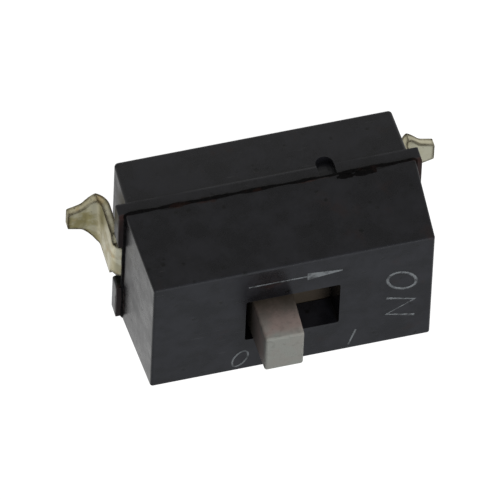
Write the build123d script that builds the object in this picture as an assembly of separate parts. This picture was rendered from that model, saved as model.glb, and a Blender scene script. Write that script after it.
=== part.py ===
from build123d import *
import math
import os

# One-position slide switch with gull-wing terminals, for surface mounting.
# Millimetres. +Z is up from the board, +X is the way the slider moves to ON, and the origin is on the
# board, midway between the two feet. The slider is built in its OFF position.

# ---- Driving dimensions ----------------------------------------------------------------------------

# Heights, from the board up
STANDOFF = 0.10
BASE_BODY_HEIGHT = 1.33
FLANGE_THICKNESS = 0.40
COVER_HEIGHT = 2.26

# Cover, a drafted box that is largest at its open underside
COVER_TOP_LENGTH = 6.97
COVER_TOP_WIDTH = 3.83
COVER_END_DRAFT = 3.0
COVER_SIDE_DRAFT = 3.7
COVER_ROOF = 0.75
COVER_END_WALL = 0.50
COVER_SIDE_WALL = 0.42
COVER_EDGE_RADIUS = 0.07
SLOT_CORNER_RADIUS = 0.06

# Base, a drafted block that is smallest at its underside, with a flange under the cover
FLANGE_LENGTH = 7.53
FLANGE_WIDTH = 4.03
FLANGE_EDGE_RADIUS = 0.06
SEAM_CHAMFER = 0.09
BASE_TOP_LENGTH = 7.00
BASE_TOP_WIDTH = 3.97
BASE_END_DRAFT = 2.0
BASE_SIDE_DRAFT = 2.6
BASE_EDGE_RADIUS = 0.10
RIM_HEIGHT = 0.30
RIM_WALL = 0.26
CONTACT_DEPTH = 0.15
SEAT_WELL_DEPTH = 0.20
SEAL_RECESS_LENGTH = 5.20
SEAL_RECESS_WIDTH = 2.50
SEAL_RECESS_DEPTH = 0.30
SEAL_CORNER_RADIUS = 0.20
CORE_HOLE_DIAMETER = 0.60
CORE_HOLE_SPACING = 3.80
GATE_WIDTH = 0.44
GATE_HEIGHT = 0.68
GATE_DEPTH = 0.24
GATE_X = 1.45

# Terminals, each one strip: a contact blade, a leg and a foot
STRIP_THICKNESS = 0.20
BLADE_WIDTH = 1.10
LEG_WIDTH = 1.55
LEG_OUTER_X = 3.82
FOOT_LENGTH = 0.76
FOOT_TIP_WIDTH = 0.54
TAIL_WIDTH = 0.76
TAIL_LENGTH = 0.36
TAIL_CORNER_RADIUS = 0.25
TAPER_START = 0.06
TOP_BEND_RADIUS = 0.10
FOOT_BEND_RADIUS = 0.30
SHOULDER_HEIGHT = 0.14
FOOT_CORNER_RADIUS = 0.05
CONTACT_GAP = 0.40

# Slider, with its knob above the cover and a carriage below the roof
TRAVEL = 0.98
KNOB_HEIGHT = 1.11
KNOB_ROOT_LENGTH = 1.03
KNOB_ROOT_WIDTH = 1.24
KNOB_TIP_LENGTH = 0.96
KNOB_TIP_WIDTH = 1.21
KNOB_EDGE_RADIUS = 0.07
BOSS_WALL = 0.22
BORE_ABOVE_ROOF = 0.55
POCKET_WALL = 0.42
POCKET_DEPTH = 0.55

# Ball and spring
BALL_DIAMETER = 0.80
WIRE_DIAMETER = 0.09
SPRING_TURNS = 7.0

# Clearances
SLOT_END_GAP = 0.165
SLOT_SIDE_GAP = 0.13
SLIDER_END_GAP = 0.03
SLIDER_SIDE_GAP = 0.04
SLIDER_ROOF_GAP = 0.04
SLIDER_RIM_GAP = 0.05
BOSS_FLOOR_GAP = 0.05
BALL_SIDE_GAP = 0.02
BALL_SEAT_GAP = 0.004
SPRING_SIDE_GAP = 0.04
SPRING_END_GAP = 0.005
RIM_FIT_GAP = 0.02
LEG_NOTCH_GAP = 0.04
SEAL_PEG_GAP = 0.01
SEAL_SINK = 0.03

# ---- Sizes and places that follow from them ---------------------------------------------------------

flange_bottom_z = STANDOFF + BASE_BODY_HEIGHT
flange_top_z = flange_bottom_z + FLANGE_THICKNESS
cover_top_z = flange_top_z + COVER_HEIGHT
roof_bottom_z = cover_top_z - COVER_ROOF
knob_top_z = cover_top_z + KNOB_HEIGHT

blade_top_z = flange_top_z - CONTACT_DEPTH
blade_bottom_z = blade_top_z - STRIP_THICKNESS
seat_well_z = blade_bottom_z - SEAT_WELL_DEPTH
seal_top_z = STANDOFF + SEAL_RECESS_DEPTH

cavity_length = COVER_TOP_LENGTH - 2 * COVER_END_WALL
cavity_width = COVER_TOP_WIDTH - 2 * COVER_SIDE_WALL
slot_length = KNOB_ROOT_LENGTH + TRAVEL + 2 * SLOT_END_GAP
slot_width = KNOB_ROOT_WIDTH + 2 * SLOT_SIDE_GAP

rim_length = cavity_length - 2 * RIM_FIT_GAP
rim_width = cavity_width - 2 * RIM_FIT_GAP
rim_top_z = flange_top_z + RIM_HEIGHT
well_length = rim_length - 2 * RIM_WALL
well_width = rim_width - 2 * RIM_WALL

off_x = -TRAVEL / 2
on_x = TRAVEL / 2
carriage_length = cavity_length - TRAVEL - 2 * SLIDER_END_GAP
carriage_width = cavity_width - 2 * SLIDER_SIDE_GAP
carriage_top_z = roof_bottom_z - SLIDER_ROOF_GAP
carriage_bottom_z = rim_top_z + SLIDER_RIM_GAP
boss_bottom_z = flange_top_z + BOSS_FLOOR_GAP

ball_radius = BALL_DIAMETER / 2
bore_radius = ball_radius + BALL_SIDE_GAP
boss_radius = bore_radius + BOSS_WALL
bore_top_z = roof_bottom_z + BORE_ABOVE_ROOF
seat_radius = CONTACT_GAP / 2
ball_z = blade_top_z + math.sqrt(ball_radius**2 - seat_radius**2) + BALL_SEAT_GAP
wire_radius = WIRE_DIAMETER / 2
coil_radius = bore_radius - SPRING_SIDE_GAP - wire_radius

foot_tip_x = LEG_OUTER_X + FOOT_LENGTH
tail_x = foot_tip_x - TAIL_LENGTH
taper_x = LEG_OUTER_X + TAPER_START
leg_notch_width = LEG_WIDTH + 2 * LEG_NOTCH_GAP
notch_wall_x = BASE_TOP_LENGTH / 2


# ---- Shared shapes ----------------------------------------------------------------------------------


def block(length, width, low_z, high_z, x=0.0, y=0.0):
    """A box centred on (x, y) that spans low_z to high_z."""
    return Pos(x, y, (low_z + high_z) / 2) * Box(length, width, high_z - low_z)


def peg(radius, low_z, high_z, x=0.0):
    """An upright cylinder at x that spans low_z to high_z."""
    return Pos(x, 0, (low_z + high_z) / 2) * Cylinder(radius, high_z - low_z)


def tapered_block(low_size, low_z, high_size, high_z, x=0.0):
    """A block with flat drafted sides, from one rectangle to another above it."""
    low = Plane.XY.offset(low_z) * Pos(x, 0) * Rectangle(*low_size)
    high = Plane.XY.offset(high_z) * Pos(x, 0) * Rectangle(*high_size)
    return loft([low, high])


def grown(size, angles, height):
    """A rectangle's length and width after its sides have leaned out over that height."""
    return tuple(s + 2 * height * math.tan(math.radians(a)) for s, a in zip(size, angles))


# ---- Pieces -----------------------------------------------------------------------------------------


def make_terminal(blade_end_x, ball_seat_x=None):
    """The terminal at the +X end, with its blade reaching in to blade_end_x."""
    blade_z = (blade_top_z + blade_bottom_z) / 2
    leg_x = LEG_OUTER_X - STRIP_THICKNESS / 2
    foot_z = STRIP_THICKNESS / 2
    bends = [TOP_BEND_RADIUS + STRIP_THICKNESS / 2, FOOT_BEND_RADIUS + STRIP_THICKNESS / 2]
    path = FilletPolyline(
        (blade_end_x, 0, blade_z),
        (leg_x, 0, blade_z),
        (leg_x, 0, foot_z),
        (foot_tip_x, 0, foot_z),
        radius=bends,
    )
    section = Plane(origin=path @ 0, x_dir=(0, 1, 0), z_dir=path % 0) * Rectangle(LEG_WIDTH, STRIP_THICKNESS)
    strip = sweep(section, path=path)

    # Seen from the end: a narrow blade that widens at its shoulders to the leg.
    outline = Polyline(
        (BLADE_WIDTH / 2, blade_top_z + STRIP_THICKNESS),
        (BLADE_WIDTH / 2, blade_bottom_z),
        (LEG_WIDTH / 2, blade_bottom_z - SHOULDER_HEIGHT),
        (LEG_WIDTH / 2, -STRIP_THICKNESS),
        (-LEG_WIDTH / 2, -STRIP_THICKNESS),
        (-LEG_WIDTH / 2, blade_bottom_z - SHOULDER_HEIGHT),
        (-BLADE_WIDTH / 2, blade_bottom_z),
        (-BLADE_WIDTH / 2, blade_top_z + STRIP_THICKNESS),
        close=True,
    )
    end_view = extrude(Plane.YZ * make_face(outline), amount=foot_tip_x + STRIP_THICKNESS, both=True)

    # Seen from above: a foot that narrows quickly to a tail, and slowly to its tip.
    outline = Polyline(
        (blade_end_x - STRIP_THICKNESS, LEG_WIDTH / 2),
        (taper_x, LEG_WIDTH / 2),
        (tail_x, TAIL_WIDTH / 2),
        (foot_tip_x, FOOT_TIP_WIDTH / 2),
        (foot_tip_x, -FOOT_TIP_WIDTH / 2),
        (tail_x, -TAIL_WIDTH / 2),
        (taper_x, -LEG_WIDTH / 2),
        (blade_end_x - STRIP_THICKNESS, -LEG_WIDTH / 2),
        close=True,
    )
    foot_plan = make_face(outline)
    tail_corners = foot_plan.vertices().filter_by(lambda v: abs(v.X - tail_x) < TAIL_LENGTH / 2)
    foot_plan = fillet(tail_corners, TAIL_CORNER_RADIUS)
    top_view = extrude(foot_plan, amount=blade_top_z + STRIP_THICKNESS, both=True)

    terminal = strip & end_view & top_view
    tip_corners = terminal.edges().filter_by(Axis.Z).group_by(Axis.X)[-1]
    terminal = fillet(tip_corners, FOOT_CORNER_RADIUS)
    if ball_seat_x is not None:
        terminal -= peg(seat_radius, blade_bottom_z - STRIP_THICKNESS, blade_top_z + STRIP_THICKNESS, ball_seat_x)
    return terminal


def make_base(terminals):
    """The lower half of the case, moulded round the two terminals."""
    base_top = (BASE_TOP_LENGTH, BASE_TOP_WIDTH)
    base_bottom = grown(base_top, (BASE_END_DRAFT, BASE_SIDE_DRAFT), -BASE_BODY_HEIGHT)
    body = tapered_block(base_bottom, STANDOFF, base_top, flange_bottom_z)
    top_edges = body.edges().group_by(Axis.Z)[-1]
    body = fillet(body.edges() - top_edges, BASE_EDGE_RADIUS)
    flange = block(FLANGE_LENGTH, FLANGE_WIDTH, flange_bottom_z, flange_top_z)
    for side in (-1, 1):
        notch_length = FLANGE_LENGTH / 2 - notch_wall_x
        notch_x = side * (notch_wall_x + notch_length / 2)
        flange -= block(notch_length, leg_notch_width, flange_bottom_z, flange_top_z, notch_x)
    long_edges = flange.edges().group_by(Axis.Z)[-1].filter_by(Axis.X).sort_by(Axis.Y)
    flange = chamfer([long_edges[0], long_edges[-1]], SEAM_CHAMFER)
    flange = fillet(flange.edges().filter_by(Axis.Z), FLANGE_EDGE_RADIUS)
    rim = block(rim_length, rim_width, flange_top_z, rim_top_z)
    rim -= block(well_length, well_width, flange_top_z, rim_top_z)
    base = body + flange + rim

    # The blades lie in a channel that is open to the ball, with a well under each of its two seats.
    base -= block(well_length, BLADE_WIDTH, blade_top_z, flange_top_z)
    base -= block(2 * notch_wall_x, BLADE_WIDTH, blade_bottom_z, blade_top_z)
    base -= block(CONTACT_GAP, BLADE_WIDTH, seat_well_z, blade_bottom_z, on_x)
    base -= peg(seat_radius, seat_well_z, blade_bottom_z, off_x)

    # Underneath: a recess for the seal, and the holes left by the pins that held the blades.
    recess = RectangleRounded(SEAL_RECESS_LENGTH, SEAL_RECESS_WIDTH, SEAL_CORNER_RADIUS)
    base -= extrude(Plane.XY.offset(STANDOFF) * recess, amount=SEAL_RECESS_DEPTH)
    for x in (-CORE_HOLE_SPACING / 2, CORE_HOLE_SPACING / 2):
        base -= peg(CORE_HOLE_DIAMETER / 2, seal_top_z, blade_bottom_z, x)

    # The notch that the moulding gate leaves in one long side, open at the seam and round at its lower end.
    gate_end_z = flange_top_z - GATE_HEIGHT + GATE_WIDTH / 2
    base -= block(GATE_WIDTH, 2 * GATE_DEPTH, gate_end_z, flange_top_z, GATE_X, FLANGE_WIDTH / 2)
    base -= Pos(GATE_X, FLANGE_WIDTH / 2, gate_end_z) * Rot(90, 0, 0) * Cylinder(GATE_WIDTH / 2, 2 * GATE_DEPTH)
    for terminal in terminals:
        base -= terminal
    return base


def make_seal():
    """The resin poured into the recess under the base and up its core holes."""
    recess = RectangleRounded(SEAL_RECESS_LENGTH, SEAL_RECESS_WIDTH, SEAL_CORNER_RADIUS)
    seal = extrude(Plane.XY.offset(STANDOFF + SEAL_SINK) * recess, amount=SEAL_RECESS_DEPTH - SEAL_SINK)
    for x in (-CORE_HOLE_SPACING / 2, CORE_HOLE_SPACING / 2):
        seal += peg(CORE_HOLE_DIAMETER / 2 - SEAL_PEG_GAP, seal_top_z, blade_bottom_z - SEAL_PEG_GAP, x)
    return seal


def make_cover():
    """The upper half of the case, a shell with a slot in its roof for the knob."""
    top = (COVER_TOP_LENGTH, COVER_TOP_WIDTH)
    bottom = grown(top, (COVER_END_DRAFT, COVER_SIDE_DRAFT), COVER_HEIGHT)
    shell = tapered_block(bottom, flange_top_z, top, cover_top_z)
    rim_edges = shell.edges().group_by(Axis.Z)[0]
    shell = fillet(shell.edges() - rim_edges, COVER_EDGE_RADIUS)
    shell -= block(cavity_length, cavity_width, flange_top_z, roof_bottom_z)
    slot = RectangleRounded(slot_length, slot_width, SLOT_CORNER_RADIUS)
    shell -= extrude(Plane.XY.offset(roof_bottom_z) * slot, amount=COVER_ROOF)
    return shell


def make_slider():
    """The knob and the carriage that it stands on, one moulding."""
    carriage = block(carriage_length, carriage_width, carriage_bottom_z, carriage_top_z, off_x)
    boss = peg(boss_radius, boss_bottom_z, carriage_bottom_z, off_x)

    # The knob keeps one draft from the carriage to its tip, and has its root size at the cover's top.
    depth = cover_top_z - carriage_top_z
    foot = [
        root + (root - tip) * depth / KNOB_HEIGHT
        for root, tip in ((KNOB_ROOT_LENGTH, KNOB_TIP_LENGTH), (KNOB_ROOT_WIDTH, KNOB_TIP_WIDTH))
    ]
    knob = tapered_block(foot, carriage_top_z, (KNOB_TIP_LENGTH, KNOB_TIP_WIDTH), knob_top_z, off_x)
    knob = fillet(knob.edges() - knob.edges().group_by(Axis.Z)[0], KNOB_EDGE_RADIUS)

    slider = carriage + boss + knob
    slider -= peg(bore_radius, boss_bottom_z, bore_top_z, off_x)
    pocket_length = carriage_length / 2 - boss_radius - 2 * POCKET_WALL
    pocket_width = carriage_width - 2 * POCKET_WALL
    pocket_x = boss_radius + POCKET_WALL + pocket_length / 2
    for side in (-1, 1):
        pocket = block(pocket_length, pocket_width, carriage_bottom_z, carriage_bottom_z + POCKET_DEPTH)
        slider -= Pos(off_x + side * pocket_x, 0, 0) * pocket
    return slider


def make_ball():
    """The contact ball, held in the slider's bore and seated in the blade's hole."""
    return Pos(off_x, 0, ball_z) * Sphere(ball_radius)


def make_spring():
    """The coil spring that presses the ball down. Its lowest turn lies on the ball."""
    rest = math.sqrt((ball_radius + wire_radius) ** 2 - coil_radius**2)
    low_z = ball_z + rest + SPRING_END_GAP
    high_z = bore_top_z - wire_radius - SPRING_END_GAP
    height = high_z - low_z
    coil = Pos(off_x, 0, low_z) * Helix(height / SPRING_TURNS, height, coil_radius)
    section = Plane(origin=coil @ 0, z_dir=coil % 0) * Circle(wire_radius)
    return sweep(section, path=coil, is_frenet=True)


# ---- Build and write --------------------------------------------------------------------------------

on_terminal = make_terminal(on_x + CONTACT_GAP / 2)
off_terminal = Rot(0, 0, 180) * make_terminal(-(on_x - CONTACT_GAP / 2), -off_x)

pieces = {
    "cover": make_cover(),
    "base": make_base((on_terminal, off_terminal)),
    "base_seal": make_seal(),
    "terminal_on": on_terminal,
    "terminal_off": off_terminal,
    "slider": make_slider(),
    "contact_ball": make_ball(),
    "contact_spring": make_spring(),
}

os.makedirs("parts", exist_ok=True)
for name, piece in pieces.items():
    export_step(piece, f"parts/{name}.step")
    print(name, "volume", round(piece.volume, 4))
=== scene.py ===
import logging
import math
from dataclasses import dataclass
from enum import Enum

import bpy
from mathutils import Matrix, Vector


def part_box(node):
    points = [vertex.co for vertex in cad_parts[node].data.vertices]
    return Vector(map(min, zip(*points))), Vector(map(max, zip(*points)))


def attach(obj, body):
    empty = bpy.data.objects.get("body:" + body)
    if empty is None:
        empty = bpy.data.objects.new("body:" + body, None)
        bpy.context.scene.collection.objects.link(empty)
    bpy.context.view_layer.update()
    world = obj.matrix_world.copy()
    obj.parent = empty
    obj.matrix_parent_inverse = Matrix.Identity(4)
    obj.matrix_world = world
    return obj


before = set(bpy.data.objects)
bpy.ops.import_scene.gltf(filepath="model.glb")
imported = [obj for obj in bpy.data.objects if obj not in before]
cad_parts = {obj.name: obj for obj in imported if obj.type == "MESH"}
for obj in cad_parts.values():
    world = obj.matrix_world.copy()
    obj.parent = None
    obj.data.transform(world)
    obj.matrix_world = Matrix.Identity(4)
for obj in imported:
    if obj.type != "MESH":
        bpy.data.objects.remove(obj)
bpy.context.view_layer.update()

logging.basicConfig(level=logging.INFO, format="%(message)s")
log = logging.getLogger("dip_switch")

MM = 0.001
HOUSING = "housing"
Point = tuple[float, float, float]
Linear = tuple[float, float, float, float]
Line = tuple[list[Point], bool]
Glyph = list[tuple[float, float]]
Socket = bpy.types.NodeSocket


class Slot(Enum):
    """The record's material slots."""

    CASE = "case_plastic"
    RESIN = "seal_resin"


# ---- Shared helpers ------------------------------------------------------------------------------


def linear(code: str) -> Linear:
    """Turns an sRGB hex value into linear colour.

    Args:
        code: Six hex digits, such as "8a8780".

    Returns:
        Red, green, blue and an alpha of 1.
    """
    parts = [int(code[i:i + 2], 16) / 255 for i in (0, 2, 4)]
    red, green, blue = (c / 12.92 if c <= 0.04045 else ((c + 0.055) / 1.055) ** 2.4 for c in parts)
    return (red, green, blue, 1.0)


def per_metre(size_mm: float) -> float:
    """Gives the texture scale at which one cell of a pattern is that many millimetres across."""
    return 1 / (size_mm * MM)


def add_node(tree: bpy.types.NodeTree, kind: str, inputs: dict | None = None,
             out: str | int | None = None, **settings: object) -> bpy.types.Node | Socket:
    """Adds a node to a tree, with its settings, values and links.

    Args:
        tree: The shader or geometry tree that the node goes into.
        kind: The node's Blender type name.
        inputs: Input names or numbers, each with a value or with the output socket that feeds it.
        out: The name or number of an output, where that is what the caller needs.
        settings: Attributes of the node itself, such as operation or data_type.

    Returns:
        The new node, or the output socket asked for.
    """
    node = tree.nodes.new(kind)
    for name, value in settings.items():
        setattr(node, name, value)
    for key, value in (inputs or {}).items():
        if isinstance(value, Socket):
            tree.links.new(value, node.inputs[key])
        else:
            node.inputs[key].default_value = value
    return node if out is None else node.outputs[out]


def ramp(low: float, high: float, start: float = 0.0, end: float = 1.0) -> dict[str, float]:
    """Gives the limits of a Map Range node: low to high becomes start to end."""
    return {"From Min": low, "From Max": high, "To Min": start, "To Max": end}


def patches(tree: bpy.types.NodeTree, place: Socket, size_mm: float, limits: dict[str, float],
            detail: float = 3.0) -> Socket:
    """Makes soft-edged random patches of a real size.

    Args:
        tree: The shader tree.
        place: The place on the piece.
        size_mm: How far apart the patches are, in millimetres.
        limits: What becomes of the noise, which lies mostly between 0.3 and 0.7, as ramp gives it.
        detail: How many finer layers roughen their edges.

    Returns:
        The socket with the mask.
    """
    cloud = add_node(tree, "ShaderNodeTexNoise", {
        "Vector": place, "Scale": per_metre(size_mm), "Detail": detail, "Roughness": 0.6},
                     out="Fac")
    return add_node(tree, "ShaderNodeMapRange", {"Value": cloud, **limits}, out="Result",
                    interpolation_type="SMOOTHSTEP")


def coats(tree: bpy.types.NodeTree, base: str, layers: list[tuple[Socket, str | Socket]]) -> Socket:
    """Lays coats of colour over a base colour, one on top of another.

    Args:
        tree: The shader tree.
        base: The base colour's hex value.
        layers: Each coat's mask, and its hex value or colour socket.

    Returns:
        The socket with the finished colour.
    """
    below = linear(base)
    for mask, colour in layers:
        above = linear(colour) if isinstance(colour, str) else colour
        below = add_node(tree, "ShaderNodeMix", {"Factor": mask, "A": below, "B": above},
                         out="Result", data_type="RGBA")
    return below


def distance_from(tree: bpy.types.NodeTree, value: Socket, middle: float) -> Socket:
    """Measures how far a coordinate is from one value of it, either way.

    Args:
        tree: The shader tree.
        value: The coordinate, in metres.
        middle: The value to measure from, in metres.

    Returns:
        The socket with the distance in metres.
    """
    away = add_node(tree, "ShaderNodeMath", {0: value, 1: middle}, out=0, operation="SUBTRACT")
    return add_node(tree, "ShaderNodeMath", {0: away}, out=0, operation="ABSOLUTE")


def edge_mask(tree: bpy.types.NodeTree, width_mm: float, full: float) -> Socket:
    """Finds the edges of a piece: 0 on the flats, rising to 1 at sharp edges.

    Args:
        tree: The shader tree.
        width_mm: How far from an edge the mask reaches, in millimetres.
        full: The likeness of the rounded and the flat normal at which the mask reaches 1.

    Returns:
        The socket with the mask.
    """
    rounded = add_node(tree, "ShaderNodeBevel", {"Radius": width_mm * MM}, out="Normal", samples=6)
    flat = add_node(tree, "ShaderNodeNewGeometry", out="Normal")
    same = add_node(tree, "ShaderNodeVectorMath", {0: rounded, 1: flat}, out="Value",
                    operation="DOT_PRODUCT")
    return add_node(tree, "ShaderNodeMapRange", {"Value": same, **ramp(0.998, full)}, out="Result",
                    interpolation_type="SMOOTHSTEP")


def new_material(name: str) -> tuple[bpy.types.Material, bpy.types.NodeTree, Socket]:
    """Starts a material with nothing in it but its coordinates.

    Args:
        name: The material's name.

    Returns:
        The material, its node tree, and the socket with the place on the piece.
    """
    material = bpy.data.materials.new(name)
    material.use_nodes = True
    tree = material.node_tree
    tree.nodes.clear()
    return material, tree, add_node(tree, "ShaderNodeTexCoord", out="Object")


def close_material(tree: bpy.types.NodeTree, shader: dict, height: Socket | None = None,
                   height_mm: float = 0.004) -> None:
    """Adds the surface shader and the output to a material.

    Args:
        tree: The material's node tree.
        shader: Inputs of the Principled shader, as add_node takes them.
        height: The socket that holds the relief, from 0 to 1.
        height_mm: How high a relief of 1 stands, in millimetres.
    """
    if height is not None:
        relief = {"Strength": 1.0, "Distance": height_mm * MM, "Height": height}
        shader = {**shader, "Normal": add_node(tree, "ShaderNodeBump", relief, out="Normal")}
    surface = add_node(tree, "ShaderNodeBsdfPrincipled", shader, out="BSDF")
    add_node(tree, "ShaderNodeOutputMaterial", {"Surface": surface})


def dress(name: str, material: bpy.types.Material) -> None:
    """Puts a material on a CAD node and reports it.

    Args:
        name: The node's name in the frame.
        material: The finish.
    """
    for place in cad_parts[name].material_slots:
        place.material = material
    log.info("dressed %s in %s", name, material.name)


def keep(piece: bpy.types.Object) -> None:
    """Ties an added piece to the housing, and reports it.

    Args:
        piece: The piece's object.
    """
    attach(piece, HOUSING)
    log.info("added %s to %s, %d faces", piece.name, HOUSING, len(piece.data.polygons))


# ---- Finishes ------------------------------------------------------------------------------------


@dataclass(frozen=True)
class CasePlastic:
    """Black glass-filled thermoplastic, injection moulded against a spark-eroded tool.

    It gives the eye a satin black with a fine pebble, cloudy in its gloss where the glass
    lies near the surface, pale hairline scuffs from handling, brown staining and a black line
    of painted shade at the seam, and a painted highlight along the flange's lower edge.
    """

    colour: str = "111114"
    cloud: str = "1c1c20"
    rust: str = "26140f"
    soot_and_shade: str = "040404"
    scuff_and_highlight: str = "464648"
    grain_mm: float = 0.045
    cloud_mm: float = 0.55
    rust_mm: float = 0.8
    scuff_mm: float = 0.05
    scuff_stretch: float = 0.06
    scuff_turn: float = 0.35
    rubbed_mm: float = 1.3
    pit_mm: float = 0.36
    pitted_mm: float = 0.7
    stain_and_shade_mm: float = 0.14
    stain_and_shade_drop_mm: float = 0.035
    rusty_mm: float = 1.6
    end_from_mm: float = 0.25
    end_full_mm: float = 0.05
    ledge_highlight_mm: float = 0.06
    edge_mm: float = 0.05
    relief_mm: float = 0.003

    def hairlines(self, tree: bpy.types.NodeTree, place: Socket) -> Socket:
        """Masks the fine scuffs, which run along the case and lie where it has been rubbed.

        Args:
            tree: The shader tree.
            place: The place on the piece.

        Returns:
            The socket with the mask.
        """
        drawn = add_node(tree, "ShaderNodeMapping", {
            "Vector": place, "Rotation": (0.0, 0.0, self.scuff_turn),
            "Scale": (self.scuff_stretch, 1.0, 1.0)}, out="Vector")
        lines = patches(tree, drawn, self.scuff_mm, ramp(0.68, 0.74, 0.0, 0.5), 2.0)
        rubbed = patches(tree, place, self.rubbed_mm, ramp(0.50, 0.62), 2.0)
        return add_node(tree, "ShaderNodeMath", {0: lines, 1: rubbed}, out=0, operation="MULTIPLY")

    def pits(self, tree: bpy.types.NodeTree, place: Socket, grain: Socket) -> Socket:
        """Masks the small ragged pits in the moulded skin.

        Args:
            tree: The shader tree.
            place: The place on the piece.
            grain: The moulded grain, which makes them ragged.

        Returns:
            The socket with the mask.
        """
        cells = add_node(tree, "ShaderNodeTexVoronoi", {
            "Vector": place, "Scale": per_metre(self.pit_mm)}, out="Distance")
        ragged = add_node(tree, "ShaderNodeMath", {0: grain, 1: 0.25, 2: cells}, out=0,
                          operation="MULTIPLY_ADD")
        holes = add_node(tree, "ShaderNodeMapRange", {"Value": ragged, **ramp(0.34, 0.22)},
                         out="Result")
        here = patches(tree, place, self.pitted_mm, ramp(0.44, 0.56), 2.0)
        return add_node(tree, "ShaderNodeMath", {0: holes, 1: here}, out=0, operation="MULTIPLY")

    def seam_stain_and_shade(self, tree: bpy.types.NodeTree, place: Socket, level: Socket,
                   seam: float) -> Socket:
        """Masks the staining and painted shade about the seam, a narrow band with ragged edges.

        Args:
            tree: The shader tree.
            place: The place on the piece.
            level: The height on the piece.
            seam: The height of the seam, in metres.

        Returns:
            The socket with the mask.
        """
        reach = patches(tree, place, self.rust_mm, ramp(0.45, 0.78, 0.0, self.stain_and_shade_mm * MM), 5.0)
        distance = distance_from(tree, level, seam - self.stain_and_shade_drop_mm * MM)
        beyond = add_node(tree, "ShaderNodeMath", {0: distance, 1: reach}, out=0,
                          operation="SUBTRACT")
        return add_node(tree, "ShaderNodeMapRange", {
            "Value": beyond, **ramp(0.075 * MM, 0.02 * MM)}, out="Result",
            interpolation_type="SMOOTHSTEP")

    def rustiness(self, tree: bpy.types.NodeTree, place: Socket, along: Socket,
                  end: float) -> Socket:
        """Masks where the seam band is rust brown: at the ends, and in stretches between them.

        Args:
            tree: The shader tree.
            place: The place on the piece.
            along: The place along X.
            end: How far the cover reaches along X, in metres.

        Returns:
            The socket with the mask.
        """
        at_end = add_node(tree, "ShaderNodeMapRange", {
            "Value": distance_from(tree, along, 0.0),
            **ramp(end - self.end_from_mm * MM, end - self.end_full_mm * MM)}, out="Result")
        stretches = patches(tree, place, self.rusty_mm, ramp(0.55, 0.66))
        return add_node(tree, "ShaderNodeMath", {0: at_end, 1: stretches}, out=0,
                        operation="MAXIMUM")

    def wear_and_highlight(self, tree: bpy.types.NodeTree, place: Socket, level: Socket, ledge: float) -> Socket:
        """Masks the pale worn edges, and a painted highlight along the flange's lower edge.

        Args:
            tree: The shader tree.
            place: The place on the piece.
            level: The height on the piece.
            ledge: The height of the flange's lower edge, in metres.

        Returns:
            The socket with the mask.
        """
        uneven = patches(tree, place, self.rubbed_mm, ramp(0.35, 0.60, 0.05, 0.45), 2.0)
        # A painted highlight along the flange's lower edge, broken up in patches.
        ledge_highlight = add_node(tree, "ShaderNodeMapRange", {
            "Value": distance_from(tree, level, ledge), **ramp(self.ledge_highlight_mm * MM, 0.0)},
            out="Result")
        worn = add_node(tree, "ShaderNodeMath", {0: ledge_highlight, 1: uneven}, out=0,
                        operation="MULTIPLY")
        return add_node(tree, "ShaderNodeMath", {
            0: edge_mask(tree, self.edge_mm, 0.80), 1: 0.12, 2: worn}, out=0,
            operation="MULTIPLY_ADD")

    def material(self, seam: float, ledge: float, end: float) -> bpy.types.Material:
        """Builds the material.

        Args:
            seam: The height of the seam between cover and base, in metres.
            ledge: The height of the flange's lower edge, in metres.
            end: How far the cover reaches along X, in metres.

        Returns:
            The finished material.
        """
        material, tree, place = new_material("moulded_black_thermoplastic")
        axes = add_node(tree, "ShaderNodeSeparateXYZ", {"Vector": place}).outputs
        grain = add_node(tree, "ShaderNodeTexNoise", {
            "Vector": place, "Scale": per_metre(self.grain_mm), "Detail": 2.0}, out="Fac")
        pits = self.pits(tree, place, grain)
        stain_and_shade = self.seam_stain_and_shade(tree, place, axes["Z"], seam)
        rusty = self.rustiness(tree, place, axes["X"], end)
        colour = coats(tree, self.colour, [
            (patches(tree, place, self.cloud_mm, ramp(0.35, 0.68), 6.0), self.cloud),
            (patches(tree, place, self.rust_mm, ramp(0.60, 0.75, 0.0, 0.35)), self.rust),
            (pits, self.soot_and_shade),
            # The seam band is a black line of painted shade with staining, rust brown in stretches.
            (stain_and_shade, coats(tree, self.soot_and_shade, [(rusty, self.rust)])),
            (self.hairlines(tree, place), self.scuff_and_highlight),
            # Pale worn edges, and a painted highlight along the flange's lower edge.
            (self.wear_and_highlight(tree, place, axes["Z"], ledge), self.scuff_and_highlight),
        ])
        gloss = patches(tree, place, self.cloud_mm, ramp(0.3, 0.7, 0.24, 0.36), 6.0)
        gloss = add_node(tree, "ShaderNodeMath", {0: stain_and_shade, 1: 0.3, 2: gloss}, out=0,
                         operation="MULTIPLY_ADD")
        height = add_node(tree, "ShaderNodeMath", {0: grain, 1: 0.35, 2: 0.5}, out=0,
                          operation="MULTIPLY_ADD")
        height = add_node(tree, "ShaderNodeMath", {0: pits, 1: -1.4, 2: height}, out=0,
                          operation="MULTIPLY_ADD")
        close_material(tree, {"Base Color": colour, "Roughness": gloss, "IOR": 1.5,
                              "Specular IOR Level": 0.43}, height, self.relief_mm)
        return material


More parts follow.
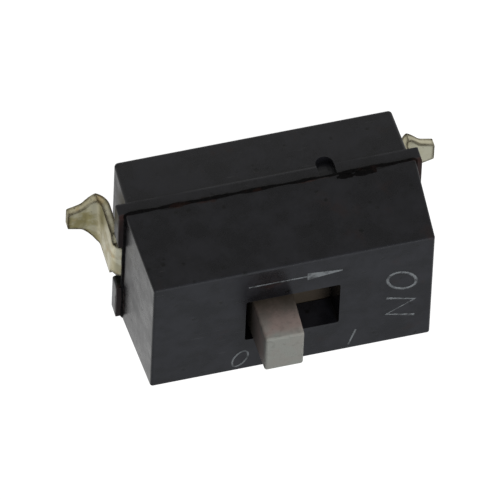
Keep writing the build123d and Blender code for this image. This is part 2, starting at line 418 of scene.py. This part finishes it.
@dataclass(frozen=True)
class KnobPlastic:
    """Pale grey-beige thermoplastic, moulded plain.

    It gives the eye a matt, slightly uneven stone colour, flushed warmer below the tip, specked
    with dirt, and darkened towards the slot by painted shade mixed with dirt.
    """

    colour: str = "8d8e88"
    warm: str = "8e7f79"
    grime_and_shade: str = "39332c"
    patch_mm: float = 0.5
    waver_mm: float = 0.15
    speck_mm: float = 0.14
    grain_mm: float = 0.05
    flush_above_mm: float = 0.15
    flush_below_mm: float = 0.10
    shade_and_dirt_depth_mm: float = 1.1
    relief_mm: float = 0.003

    def material(self, unshaded_above: float) -> bpy.types.Material:
        """Builds the material.

        Args:
            unshaded_above: The height above which the knob has neither painted shade nor dirt, in
                metres.

        Returns:
            The finished material.
        """
        material, tree, place = new_material("moulded_beige_thermoplastic")
        straight = add_node(tree, "ShaderNodeSeparateXYZ", {"Vector": place}, out="Z")
        wavy = patches(tree, place, self.patch_mm,
                       ramp(0.2, 0.8, -self.waver_mm * MM, self.waver_mm * MM))
        level = add_node(tree, "ShaderNodeMath", {0: straight, 1: wavy}, out=0, operation="ADD")
        below_tip = add_node(tree, "ShaderNodeMapRange", {
            "Value": level, **ramp(unshaded_above + self.flush_above_mm * MM,
                                   unshaded_above - self.flush_below_mm * MM)}, out="Result")
        uneven = patches(tree, place, self.patch_mm, ramp(0.35, 0.55, 0.5))
        flush = add_node(tree, "ShaderNodeMath", {0: below_tip, 1: uneven}, out=0,
                         operation="MULTIPLY")
        # Painted shade, mixed with dirt, darkens the knob downwards towards the slot.
        grime_and_shade = add_node(tree, "ShaderNodeMapRange", {
            "Value": level, **ramp(unshaded_above, unshaded_above - self.shade_and_dirt_depth_mm * MM)},
            out="Result", interpolation_type="SMOOTHSTEP")
        specks = patches(tree, place, self.speck_mm, ramp(0.50, 0.75, 0.0, 0.22))
        colour = coats(tree, self.colour, [
            (flush, self.warm), (specks, self.grime_and_shade), (grime_and_shade, self.grime_and_shade)])
        gloss = patches(tree, place, self.patch_mm, ramp(0.3, 0.7, 0.55, 0.65))
        grain = patches(tree, place, self.grain_mm, ramp(0.2, 0.8))
        close_material(tree, {"Base Color": colour, "Roughness": gloss, "IOR": 1.5,
                              "Specular IOR Level": 0.3}, grain, self.relief_mm)
        return material


@dataclass(frozen=True)
class PlatedStrip:
    """Copper-alloy strip, tin plated, formed, and then left to tarnish.

    It gives the eye a dull silver-gold that darkens to brown along the sheared edges and bends.
    """

    plating: str = "ebe6cc"
    tarnish: str = "a89d6a"
    edge: str = "3a2c10"
    heat: str = "cdb07a"
    patch_mm: float = 0.45
    heat_mm: float = 0.3
    spot_mm: float = 0.12
    edge_mm: float = 0.14
    low_from_mm: float = 0.75
    low_full_mm: float = 0.15
    relief_mm: float = 0.005

    def dullness(self, tree: bpy.types.NodeTree, place: Socket, half_length: float) -> Socket:
        """Masks the tarnish, heavier low on the feet; the mask also grows towards the -X end, which
        comes out darker.

        Args:
            tree: The shader tree.
            place: The place on the piece.
            half_length: How far the terminals reach along X, in metres.

        Returns:
            The socket with the mask.
        """
        axes = add_node(tree, "ShaderNodeSeparateXYZ", {"Vector": place}).outputs
        low = add_node(tree, "ShaderNodeMapRange", {
            "Value": axes["Z"], **ramp(self.low_from_mm * MM, self.low_full_mm * MM, 0.0, 0.45)},
            out="Result")
        share = add_node(tree, "ShaderNodeMapRange", {
            "Value": axes["X"], **ramp(half_length, -half_length, 0.25, 1.0)}, out="Result")
        uneven = patches(tree, place, self.patch_mm, ramp(0.42, 0.66, 0.0, 0.55), 4.0)
        full = add_node(tree, "ShaderNodeMath", {0: low, 1: uneven}, out=0, operation="ADD")
        return add_node(tree, "ShaderNodeMath", {0: full, 1: share}, out=0, operation="MULTIPLY")

    def material(self, half_length: float) -> bpy.types.Material:
        """Builds the material.

        Args:
            half_length: How far the terminals reach along X, in metres.

        Returns:
            The finished material.
        """
        material, tree, place = new_material("tarnished_plated_strip")
        uneven = patches(tree, place, self.patch_mm, ramp(0.30, 0.50, 0.4, 1.0), 4.0)
        rim = add_node(tree, "ShaderNodeMath", {
            0: edge_mask(tree, self.edge_mm, 0.92), 1: uneven}, out=0, operation="MULTIPLY")
        colour = coats(tree, self.plating, [
            (self.dullness(tree, place, half_length), self.tarnish),
            (patches(tree, place, self.heat_mm, ramp(0.58, 0.70, 0.0, 0.5)), self.heat),
            (patches(tree, place, self.spot_mm, ramp(0.62, 0.74, 0.0, 0.6)), self.edge),
            (rim, self.edge),
        ])
        gloss = patches(tree, place, self.patch_mm, ramp(0.3, 0.7, 0.34, 0.48), 4.0)
        gloss = add_node(tree, "ShaderNodeMath", {0: rim, 1: 0.2, 2: gloss}, out=0,
                         operation="MULTIPLY_ADD")
        waves = patches(tree, place, self.heat_mm, ramp(0.2, 0.8))
        close_material(tree, {"Base Color": colour, "Metallic": 1.0, "Roughness": gloss}, waves,
                       self.relief_mm)
        return material


@dataclass(frozen=True)
class EpoxySeal:
    """Black epoxy, poured and cured level.

    It gives the eye a smooth black, glossier than the case, with a slight ripple and some dust.
    """

    colour: str = "121213"
    dust: str = "3b3a38"
    dust_mm: float = 0.06
    ripple_mm: float = 0.7
    relief_mm: float = 0.02

    def material(self) -> bpy.types.Material:
        """Builds the material.

        Returns:
            The finished material.
        """
        material, tree, place = new_material("poured_black_epoxy")
        dust = patches(tree, place, self.dust_mm, ramp(0.62, 0.72, 0.0, 0.3))
        gloss = patches(tree, place, self.ripple_mm, ramp(0.3, 0.7, 0.16, 0.26))
        gloss = add_node(tree, "ShaderNodeMath", {0: gloss, 1: dust}, out=0, operation="ADD")
        ripple = patches(tree, place, self.ripple_mm, ramp(0.2, 0.8), 1.0)
        close_material(tree, {"Base Color": coats(tree, self.colour, [(dust, self.dust)]),
                              "Roughness": gloss, "IOR": 1.55}, ripple, self.relief_mm)
        return material


@dataclass(frozen=True)
class SeamResidue:
    """Old flux and adhesive that has crept into the seam and dried.

    It gives the eye a dull near-black crust with rust-brown stretches.
    """

    colour: str = "080707"
    rust: str = "211511"
    rust_mm: float = 0.7
    crumb_mm: float = 0.06
    relief_mm: float = 0.01

    def material(self) -> bpy.types.Material:
        """Builds the material.

        Returns:
            The finished material.
        """
        material, tree, place = new_material("dried_flux_residue")
        rusty = patches(tree, place, self.rust_mm, ramp(0.58, 0.68, 0.0, 0.5), 2.0)
        gloss = patches(tree, place, self.crumb_mm, ramp(0.3, 0.7, 0.55, 0.85))
        crumbs = patches(tree, place, self.crumb_mm, ramp(0.2, 0.8))
        close_material(tree, {"Base Color": coats(tree, self.colour, [(rusty, self.rust)]),
                              "Roughness": gloss, "IOR": 1.5, "Specular IOR Level": 0.1},
                       crumbs, self.relief_mm)
        return material


@dataclass(frozen=True)
class PadInk:
    """Pale grey pad-printed ink.

    It gives the eye matt strokes so thin that the black shows through, rubbed away in spots.
    """

    colour: str = "7c8082"
    black: str = "1c1c1e"
    thin_mm: float = 0.16

    def material(self) -> bpy.types.Material:
        """Builds the material.

        Returns:
            The finished material.
        """
        material, tree, place = new_material("pad_printed_ink")
        worn = patches(tree, place, self.thin_mm, ramp(0.40, 0.72, 0.15, 0.9))
        gloss = patches(tree, place, self.thin_mm, ramp(0.40, 0.72, 0.5, 0.32))
        close_material(tree, {"Base Color": coats(tree, self.colour, [(worn, self.black)]),
                              "Roughness": gloss, "IOR": 1.5})
        return material


@dataclass(frozen=True)
class SmallMetal:
    """The polished or drawn metal of a small piece inside the case.

    It gives the eye a smooth bright surface with a trace of handling marks.
    """

    name: str
    colour: str
    roughness: float
    marks: str = "6b5c3d"
    mark_mm: float = 0.08

    def material(self) -> bpy.types.Material:
        """Builds the material.

        Returns:
            The finished material.
        """
        material, tree, place = new_material(self.name)
        marks = patches(tree, place, self.mark_mm, ramp(0.5, 0.8, 0.0, 0.4))
        gloss = patches(tree, place, self.mark_mm,
                        ramp(0.3, 0.7, self.roughness, self.roughness + 0.12))
        close_material(tree, {"Base Color": coats(tree, self.colour, [(marks, self.marks)]),
                              "Metallic": 1.0, "Roughness": gloss})
        return material


# ---- Geometry Nodes trees ------------------------------------------------------------------------


def new_tree(name: str, sizes: dict[str, float],
             seeded: bool = False) -> tuple[bpy.types.GeometryNodeTree, dict[str, Socket]]:
    """Starts a Geometry Nodes tree that takes a path and named sizes and gives a mesh.

    Args:
        name: The tree's name.
        sizes: The names of its number inputs, each with its default.
        seeded: Whether it also has a whole-number input named Seed.

    Returns:
        The tree, and its group input's outputs by name.
    """
    tree = bpy.data.node_groups.new(name, "GeometryNodeTree")
    sockets = tree.interface
    sockets.new_socket("Path", in_out="INPUT", socket_type="NodeSocketGeometry")
    for label, value in sizes.items():
        size = sockets.new_socket(label, in_out="INPUT", socket_type="NodeSocketFloat")
        size.default_value = value
    if seeded:
        sockets.new_socket("Seed", in_out="INPUT", socket_type="NodeSocketInt")
    sockets.new_socket("Finish", in_out="INPUT", socket_type="NodeSocketMaterial")
    sockets.new_socket("Mesh", in_out="OUTPUT", socket_type="NodeSocketGeometry")
    given = add_node(tree, "NodeGroupInput").outputs
    return tree, {socket.name: socket for socket in given if socket.name}


def end_tree(tree: bpy.types.GeometryNodeTree, mesh: Socket, finish: Socket) -> None:
    """Ends a tree with Realize Instances and Set Material.

    Args:
        tree: The tree to end.
        mesh: The socket with the geometry that it makes.
        finish: The socket with the material.
    """
    solid = add_node(tree, "GeometryNodeRealizeInstances", {"Geometry": mesh}, out=0)
    dressed = add_node(tree, "GeometryNodeSetMaterial", {"Geometry": solid, "Material": finish},
                       out=0)
    add_node(tree, "NodeGroupOutput", {"Mesh": dressed})


def bead_tree() -> bpy.types.GeometryNodeTree:
    """Makes the tree that lays an uneven bead of residue along a path.

    Returns:
        The tree, with inputs for the bead's radius, how unevenly it swells, how far it wanders,
        the length of its lumps, the step between its rings, and its seed.
    """
    sizes = {"Radius": 0.05 * MM, "Unevenness": 1.5, "Wander": 0.05 * MM, "Lump": 0.5 * MM,
             "Step": 0.025 * MM}
    tree, given = new_tree("seam_bead", sizes, seeded=True)
    fine = add_node(tree, "GeometryNodeResampleCurve", {
        "Curve": given["Path"], "Length": given["Step"]}, out="Curve", mode="LENGTH")
    rate = add_node(tree, "ShaderNodeMath", {0: 1.0, 1: given["Lump"]}, out=0, operation="DIVIDE")
    lumps = add_node(tree, "ShaderNodeTexNoise", {
        "Scale": rate, "W": given["Seed"], "Detail": 3.0}, noise_dimensions="4D").outputs
    centred = add_node(tree, "ShaderNodeVectorMath", {0: lumps["Color"], 1: (0.5, 0.5, 0.5)},
                       out=0, operation="SUBTRACT")
    shift = add_node(tree, "ShaderNodeVectorMath", {0: centred, "Scale": given["Wander"]}, out=0,
                     operation="SCALE")
    moved = add_node(tree, "GeometryNodeSetPosition", {"Geometry": fine, "Offset": shift}, out=0)
    above_half = add_node(tree, "ShaderNodeMath", {0: lumps["Fac"], 1: 0.5}, out=0,
                          operation="SUBTRACT")
    swell = add_node(tree, "ShaderNodeMath", {0: above_half, 1: given["Unevenness"], 2: 1.0},
                     out=0, operation="MULTIPLY_ADD")
    ring = add_node(tree, "GeometryNodeCurvePrimitiveCircle", {
        "Resolution": 8, "Radius": given["Radius"]}, out="Curve")
    tube = add_node(tree, "GeometryNodeCurveToMesh", {
        "Curve": moved, "Profile Curve": ring, "Scale": swell, "Fill Caps": True}, out=0)
    smooth = add_node(tree, "GeometryNodeSetShadeSmooth", {"Geometry": tube}, out=0)
    end_tree(tree, smooth, given["Finish"])
    return tree


def stroke_tree() -> bpy.types.GeometryNodeTree:
    """Makes the tree that prints flat strokes of one width along the lines of a drawing.

    Returns:
        The tree, with inputs for the stroke's width and the ink's thickness.
    """
    tree, given = new_tree("ink_strokes", {"Width": 0.07 * MM, "Ink": 0.008 * MM})
    level = add_node(tree, "GeometryNodeSetCurveNormal", {"Curve": given["Path"]}, out=0,
                     mode="Z_UP")
    nib = add_node(tree, "GeometryNodeCurvePrimitiveQuadrilateral", {
        "Width": given["Width"], "Height": given["Ink"]}, out="Curve")
    tape = add_node(tree, "GeometryNodeCurveToMesh", {
        "Curve": level, "Profile Curve": nib, "Fill Caps": True}, out=0)
    end_tree(tree, tape, given["Finish"])
    return tree


def path_along(name: str, lines: list[Line]) -> bpy.types.Object:
    """Makes a curve object of straight-sided lines.

    Args:
        name: The object's name.
        lines: Each line's points in metres, and whether it closes on itself.

    Returns:
        The curve's object, linked to the scene.
    """
    curve = bpy.data.curves.new(name, "CURVE")
    curve.dimensions = "3D"
    for points, closed in lines:
        spline = curve.splines.new("POLY")
        spline.points.add(len(points) - 1)
        for vertex, place in zip(spline.points, points):
            vertex.co = (*place, 1.0)
        spline.use_cyclic_u = closed
    return placed(name, curve)


def grown(path: bpy.types.Object, tree: bpy.types.GeometryNodeTree,
          values: dict[str, object]) -> bpy.types.Object:
    """Runs a Geometry Nodes tree on a path and keeps only the plain mesh that it makes.

    Args:
        path: The path's object. It is removed.
        tree: The tree to run.
        values: The tree's named inputs.

    Returns:
        A mesh object at the origin, with the path's name.
    """
    name = path.name
    modifier = path.modifiers.new("grow", "NODES")
    modifier.node_group = tree
    for socket in tree.interface.items_tree:
        if socket.name in values:
            modifier[socket.identifier] = values[socket.name]
    bpy.context.view_layer.update()
    ready = path.evaluated_get(bpy.context.evaluated_depsgraph_get())
    mesh = bpy.data.meshes.new_from_object(ready)
    path.modifiers.remove(modifier)
    bpy.data.objects.remove(path)
    mesh.name = name
    return placed(name, mesh)


def placed(name: str, data: bpy.types.ID) -> bpy.types.Object:
    """Puts a mesh, curve, light or camera in the scene.

    Args:
        name: The object's name.
        data: What the object holds.

    Returns:
        The object, which stands at the origin.
    """
    piece = bpy.data.objects.new(name, data)
    bpy.context.scene.collection.objects.link(piece)
    return piece


def rounded_rectangle(half_x: float, half_y: float, radius: float, z: float,
                      steps: int = 6) -> list[Point]:
    """Gives the points of a level rectangle with round corners.

    Args:
        half_x: How far it reaches along X.
        half_y: How far it reaches along Y.
        radius: The radius of its corners.
        z: Its height.
        steps: How many straight pieces each corner has.

    Returns:
        The points, anticlockwise from above.
    """
    points = []
    for turn, (side_x, side_y) in enumerate(((1, 1), (-1, 1), (-1, -1), (1, -1))):
        for step in range(steps + 1):
            angle = math.pi / 2 * (turn + step / steps)
            points.append((side_x * (half_x - radius) + radius * math.cos(angle),
                           side_y * (half_y - radius) + radius * math.sin(angle), z))
    return points


# ---- Sub-assemblies ------------------------------------------------------------------------------


@dataclass
class Case:
    """The two-part case: cover and base, the seal beneath, and the residue in their seam."""

    plastic: CasePlastic = CasePlastic()
    seal: EpoxySeal = EpoxySeal()
    residue: SeamResidue = SeamResidue()
    flange_thickness: float = 0.40 * MM
    bead_radius: float = 0.06 * MM
    bead_inset: float = 0.035 * MM
    bead_drop: float = 0.035 * MM
    bead_wander: float = 0.07 * MM
    bead_lump: float = 0.5 * MM
    bead_step: float = 0.025 * MM
    bead_unevenness: float = 1.8
    bead_seed: int = 7
    corner: float = 0.12 * MM
    smear_radius: float = 0.10 * MM
    smear_inset: float = 0.07 * MM
    smear_wander: float = 0.05 * MM
    smear_lump: float = 0.3 * MM
    smear_start: float = 1.62 * MM
    smear_end: float = 2.60 * MM
    smear_rise: float = 0.07 * MM
    smear_seed: int = 3

    def dress_shells(self) -> None:
        """Puts the plastic on the cover and the base, and the resin on the seal."""
        low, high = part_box("cover")
        plastic = self.plastic.material(low.z, low.z - self.flange_thickness, high.x)
        dress("cover", plastic)
        dress("base", plastic)
        dress("base_seal", self.seal.material())

    def lay_residue(self) -> None:
        """Lays the bead in the groove under the cover's rim, and a smear above it on +Y."""
        low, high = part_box("cover")
        tree = bead_tree()
        around = rounded_rectangle(high.x, high.y - self.bead_inset, self.corner,
                                   low.z - self.bead_drop)
        values = {"Radius": self.bead_radius, "Unevenness": self.bead_unevenness,
                  "Wander": self.bead_wander, "Lump": self.bead_lump, "Step": self.bead_step,
                  "Seed": self.bead_seed, "Finish": self.residue.material()}
        bead = grown(path_along("seam_residue", [(around, True)]), tree, values)
        keep(bead)

        along = [(x, high.y - self.smear_inset, low.z + self.smear_rise)
                 for x in (self.smear_start, self.smear_end)]
        values |= {"Radius": self.smear_radius, "Wander": self.smear_wander,
                   "Lump": self.smear_lump, "Seed": self.smear_seed}
        smear = grown(path_along("residue_smear", [(along, False)]), tree, values)
        keep(smear)

    def build(self) -> None:
        """Dresses the case and lays its residue."""
        self.dress_shells()
        self.lay_residue()


@dataclass
class Terminals:
    """The two gull-wing terminals, each one plated strip."""

    strip: PlatedStrip = PlatedStrip()

    def build(self) -> None:
        """Puts the plating on both terminals."""
        plating = self.strip.material(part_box("terminal_on")[1].x)
        for name in ("terminal_off", "terminal_on"):
            dress(name, plating)


@dataclass
class Actuator:
    """The sliding knob with the spring and the ball that it carries."""

    plastic: KnobPlastic = KnobPlastic()
    ball: SmallMetal = SmallMetal("polished_gold_plate", "c9a35a", 0.12)
    wire: SmallMetal = SmallMetal("drawn_spring_wire", "a8a8a6", 0.22)
    # How far below the knob's top its painted shade and dirt begin.
    unshaded_height: float = 0.15 * MM

    def build(self) -> None:
        """Dresses the slider, the ball and the spring."""
        dress("slider", self.plastic.material(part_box("slider")[1].z - self.unshaded_height))
        dress("contact_ball", self.ball.material())
        dress("contact_spring", self.wire.material())


@dataclass
class Legend:
    """What is printed on the cover: an arrow towards ON, the word ON, and a plain 0 and 1."""

    ink: PadInk = PadInk()
    stroke: float = 0.075 * MM
    thin_stroke: float = 0.045 * MM
    ink_depth: float = 0.008 * MM
    arrow_start: float = -1.13 * MM
    arrow_head: float = 0.33 * MM
    arrow_tip: float = 1.20 * MM
    arrow_y: float = 1.33 * MM
    head_width: float = 0.26 * MM
    tip_width: float = 0.04 * MM
    word_x: float = 2.70 * MM
    word_y: float = -0.08 * MM
    letter_height: float = 0.72 * MM
    letter_width: float = 0.64 * MM
    letter_gap: float = 0.40 * MM
    slant: float = 0.31
    numeral_height: float = 0.56 * MM
    numeral_width: float = 0.35 * MM
    numeral_stroke: float = 0.05 * MM
    numeral_y: float = -1.46 * MM
    zero_x: float = -1.27 * MM
    one_x: float = 1.52 * MM

    def place(self, x: float, y: float, up: float = 0.0) -> Point:
        """Gives the point at that place in the layer of ink, or that far above its middle."""
        return (x, y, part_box("cover")[1].z + up)

    def oval(self, width: float, height: float, steps: int = 40) -> Glyph:
        """Gives the points of an upright oval about its centre."""
        turns = [2 * math.pi * step / steps for step in range(steps)]
        return [(width / 2 * math.cos(turn), height / 2 * math.sin(turn)) for turn in turns]

    def set_type(self, glyph: Glyph, x: float, y: float, sideways: bool) -> list[Point]:
        """Slants a glyph and sets it down on the cover.

        Args:
            glyph: Its points about its centre, across and up.
            x: The place of its centre along the switch.
            y: The place of its centre across the switch.
            sideways: Whether its top is towards +X instead of +Y.

        Returns:
            The points on the cover.
        """
        points = []
        for across, up in glyph:
            across += self.slant * up
            points.append(self.place(x + up, y - across) if sideways
                          else self.place(x + across, y + up))
        return points

    def print_lines(self, name: str, lines: list[Line], tree: bpy.types.GeometryNodeTree,
                    width: float, finish: bpy.types.Material) -> None:
        """Prints lines of one width.

        Args:
            name: The new piece's name.
            lines: Each line's points, and whether it closes on itself.
            tree: The tree of strokes.
            width: The stroke's width in metres.
            finish: The ink.
        """
        values = {"Width": width, "Ink": self.ink_depth, "Finish": finish}
        keep(grown(path_along(name, lines), tree, values))

    def print_arrow_head(self, finish: bpy.types.Material) -> None:
        """Prints the solid head of the arrow, a slim wedge.

        Args:
            finish: The ink.
        """
        corners = [(self.arrow_head, -self.head_width), (self.arrow_tip, -self.tip_width),
                   (self.arrow_tip, self.tip_width), (self.arrow_head, self.head_width)]
        points = [self.place(x, self.arrow_y + width / 2, up)
                  for up in (-self.ink_depth / 2, self.ink_depth / 2) for x, width in corners]
        sides = [(i, (i + 1) % 4, (i + 1) % 4 + 4, i + 4) for i in range(4)]
        mesh = bpy.data.meshes.new("arrow_head")
        mesh.from_pydata(points, [], [(3, 2, 1, 0), (4, 5, 6, 7)] + sides)
        mesh.materials.append(finish)
        keep(placed("arrow_head", mesh))

    def build(self) -> None:
        """Prints the arrow, the word and the two numbers."""
        finish = self.ink.material()
        tree = stroke_tree()
        shaft = [self.place(x, self.arrow_y) for x in (self.arrow_start, self.arrow_head)]
        self.print_lines("arrow_shaft", [(shaft, False)], tree, self.thin_stroke, finish)
        self.print_arrow_head(finish)

        half_w, half_h = self.letter_width / 2, self.letter_height / 2
        from_middle = self.letter_gap / 2 + half_w
        letter_o = self.oval(self.letter_width, self.letter_height)
        letter_n = [(-half_w, -half_h), (-half_w, half_h), (half_w, -half_h), (half_w, half_h)]
        word = [(self.set_type(letter_o, self.word_x, self.word_y + from_middle, True), True),
                (self.set_type(letter_n, self.word_x, self.word_y - from_middle, True), False)]
        self.print_lines("word_on", word, tree, self.stroke, finish)

        zero = self.oval(self.numeral_width, self.numeral_height)
        one = [(0.0, -self.numeral_height / 2), (0.0, self.numeral_height / 2)]
        numerals = [(self.set_type(zero, self.zero_x, self.numeral_y, False), True),
                    (self.set_type(one, self.one_x, self.numeral_y, False), False)]
        self.print_lines("numerals", numerals, tree, self.numeral_stroke, finish)


@dataclass
class Studio:
    """The pale floor, the soft lights and the camera."""

    floor_colour: str = "e6e5e2"
    floor_fibre: str = "dcdad6"
    fibre_mm: float = 0.4
    floor_half: float = 600 * MM
    floor_fade: float = 6 * MM
    near_floor_in_gloss: float = 0.30
    far_floor_in_gloss: float = 0.90
    floor_seen: float = 1.20
    floor_share_seen: float = 0.85
    floor_share_in_gloss: float = 0.90
    sky_colour: str = "f2f6fc"
    sky_seen: float = 1.15
    sky_in_gloss: float = 0.44
    zenith_in_gloss: float = 1.1
    zenith_from: float = 0.62
    zenith_full: float = 0.97
    room_light: float = 0.15
    softbox_size: float = 26 * MM
    softbox_distance: float = 60 * MM
    softbox_from: Point = (0.25, 0.45, 0.86)
    softbox_power: float = 0.026
    camera_azimuth: float = -167.635
    camera_elevation: float = 35.19
    camera_roll: float = 161.84
    camera_distance: float = 400 * MM
    camera_aim: Point = (-0.530 * MM, 0.050 * MM, 2.070 * MM)
    camera_nearest: float = 10 * MM
    camera_farthest: float = 2000 * MM
    lens_mm: float = 1195.6
    sensor_mm: float = 36.0

    def by_ray(self, tree: bpy.types.NodeTree, seen: float, shone: float | Socket,
               other: float) -> Socket:
        """Chooses a value by the kind of ray.

        Args:
            tree: The shader tree.
            seen: The value for rays straight from the camera.
            shone: The value for glossy and transmission rays, a number or a socket.
            other: The value for all other rays.

        Returns:
            The socket with the value.
        """
        ray = add_node(tree, "ShaderNodeLightPath").outputs
        mirrored = add_node(tree, "ShaderNodeMath", {
            0: ray["Is Glossy Ray"], 1: ray["Is Transmission Ray"]}, out=0, operation="MAXIMUM")
        unseen = add_node(tree, "ShaderNodeMix", {"Factor": mirrored, "A": other, "B": shone},
                          out="Result", data_type="FLOAT")
        return add_node(tree, "ShaderNodeMix", {
            "Factor": ray["Is Camera Ray"], "A": unseen, "B": seen}, out="Result",
            data_type="FLOAT")

    def lay_floor(self) -> None:
        """Lays the pale floor that the switch stands on."""
        material, tree, place = new_material("white_card")
        fibres = patches(tree, place, self.fibre_mm, ramp(0.3, 0.7, 0.0, 0.12))
        paper = coats(tree, self.floor_colour, [(fibres, self.floor_fibre)])
        card = add_node(tree, "ShaderNodeBsdfDiffuse", {"Color": paper}, out=0)
        # The card is brighter beyond the switch than before it: the ends shine, the side is dark.
        depth = add_node(tree, "ShaderNodeSeparateXYZ", {"Vector": place}, out="Y")
        sheen = add_node(tree, "ShaderNodeMapRange", {
            "Value": depth, **ramp(self.floor_fade, -self.floor_fade,
                                   self.near_floor_in_gloss, self.far_floor_in_gloss)},
            out="Result")
        strength = self.by_ray(tree, self.floor_seen, sheen, 0.0)
        glow = add_node(tree, "ShaderNodeEmission", {"Strength": strength}, out=0)
        share = self.by_ray(tree, self.floor_share_seen, self.floor_share_in_gloss, 0.0)
        both = add_node(tree, "ShaderNodeMixShader", {"Fac": share, 1: card, 2: glow}, out=0)
        add_node(tree, "ShaderNodeOutputMaterial", {"Surface": both})

        half = self.floor_half
        corners = [(-half, -half, 0), (half, -half, 0), (half, half, 0), (-half, half, 0)]
        mesh = bpy.data.meshes.new("floor")
        mesh.from_pydata(corners, [], [(0, 1, 2, 3)])
        mesh.materials.append(material)
        placed("floor", mesh)

    def light_room(self) -> None:
        """Sets the soft light of the room, white to the camera."""
        world = bpy.data.worlds.new("studio")
        bpy.context.scene.world = world
        world.use_nodes = True
        tree = world.node_tree
        tree.nodes.clear()
        direction = add_node(tree, "ShaderNodeTexCoord", out="Generated")
        upward = add_node(tree, "ShaderNodeSeparateXYZ", {"Vector": direction}, out="Z")
        sky = add_node(tree, "ShaderNodeMapRange", {
            "Value": upward, **ramp(self.zenith_from, self.zenith_full,
                                    self.sky_in_gloss, self.zenith_in_gloss)}, out="Result")
        strength = self.by_ray(tree, self.sky_seen, sky, self.room_light)
        glow = add_node(tree, "ShaderNodeBackground", {
            "Color": linear(self.sky_colour), "Strength": strength}, out=0)
        add_node(tree, "ShaderNodeOutputWorld", {"Surface": glow})

    def hang_softbox(self) -> None:
        """Hangs the one large soft light."""
        light = bpy.data.lights.new("softbox", "AREA")
        light.shape = "SQUARE"
        light.size = self.softbox_size
        light.energy = self.softbox_power
        lamp = placed("softbox", light)
        direction = Vector(self.softbox_from).normalized()
        lamp.location = direction * self.softbox_distance
        lamp.rotation_euler = direction.to_track_quat("Z", "Y").to_euler()
        lamp.visible_glossy = False

    def set_camera(self) -> None:
        """Sets the camera on its long lens, rolled so that the switch's underside is uppermost."""
        lens = bpy.data.cameras.new("camera")
        lens.lens = self.lens_mm
        lens.sensor_width = self.sensor_mm
        lens.clip_start = self.camera_nearest
        lens.clip_end = self.camera_farthest
        camera = placed("camera", lens)
        azimuth = math.radians(self.camera_azimuth)
        elevation = math.radians(self.camera_elevation)
        back = Vector((math.sin(azimuth) * math.cos(elevation),
                       -math.cos(azimuth) * math.cos(elevation), math.sin(elevation)))
        turn = (-back).to_track_quat("-Z", "Y").to_matrix().to_4x4()
        roll = Matrix.Rotation(math.radians(self.camera_roll), 4, "Z")
        place = Matrix.Translation(Vector(self.camera_aim) + back * self.camera_distance)
        camera.matrix_world = place @ turn @ roll
        bpy.context.scene.camera = camera

    def build(self) -> None:
        """Lays the floor, hangs the lights and sets the camera."""
        self.lay_floor()
        self.light_room()
        self.hang_softbox()
        self.set_camera()
        bpy.context.scene.view_settings.view_transform = "Standard"


def main() -> None:
    """Builds every sub-assembly in order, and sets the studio."""
    for part in (Case(), Terminals(), Actuator(), Legend(), Studio()):
        log.info("building %s", type(part).__name__)
        part.build()


if __name__ == "__main__":
    main()
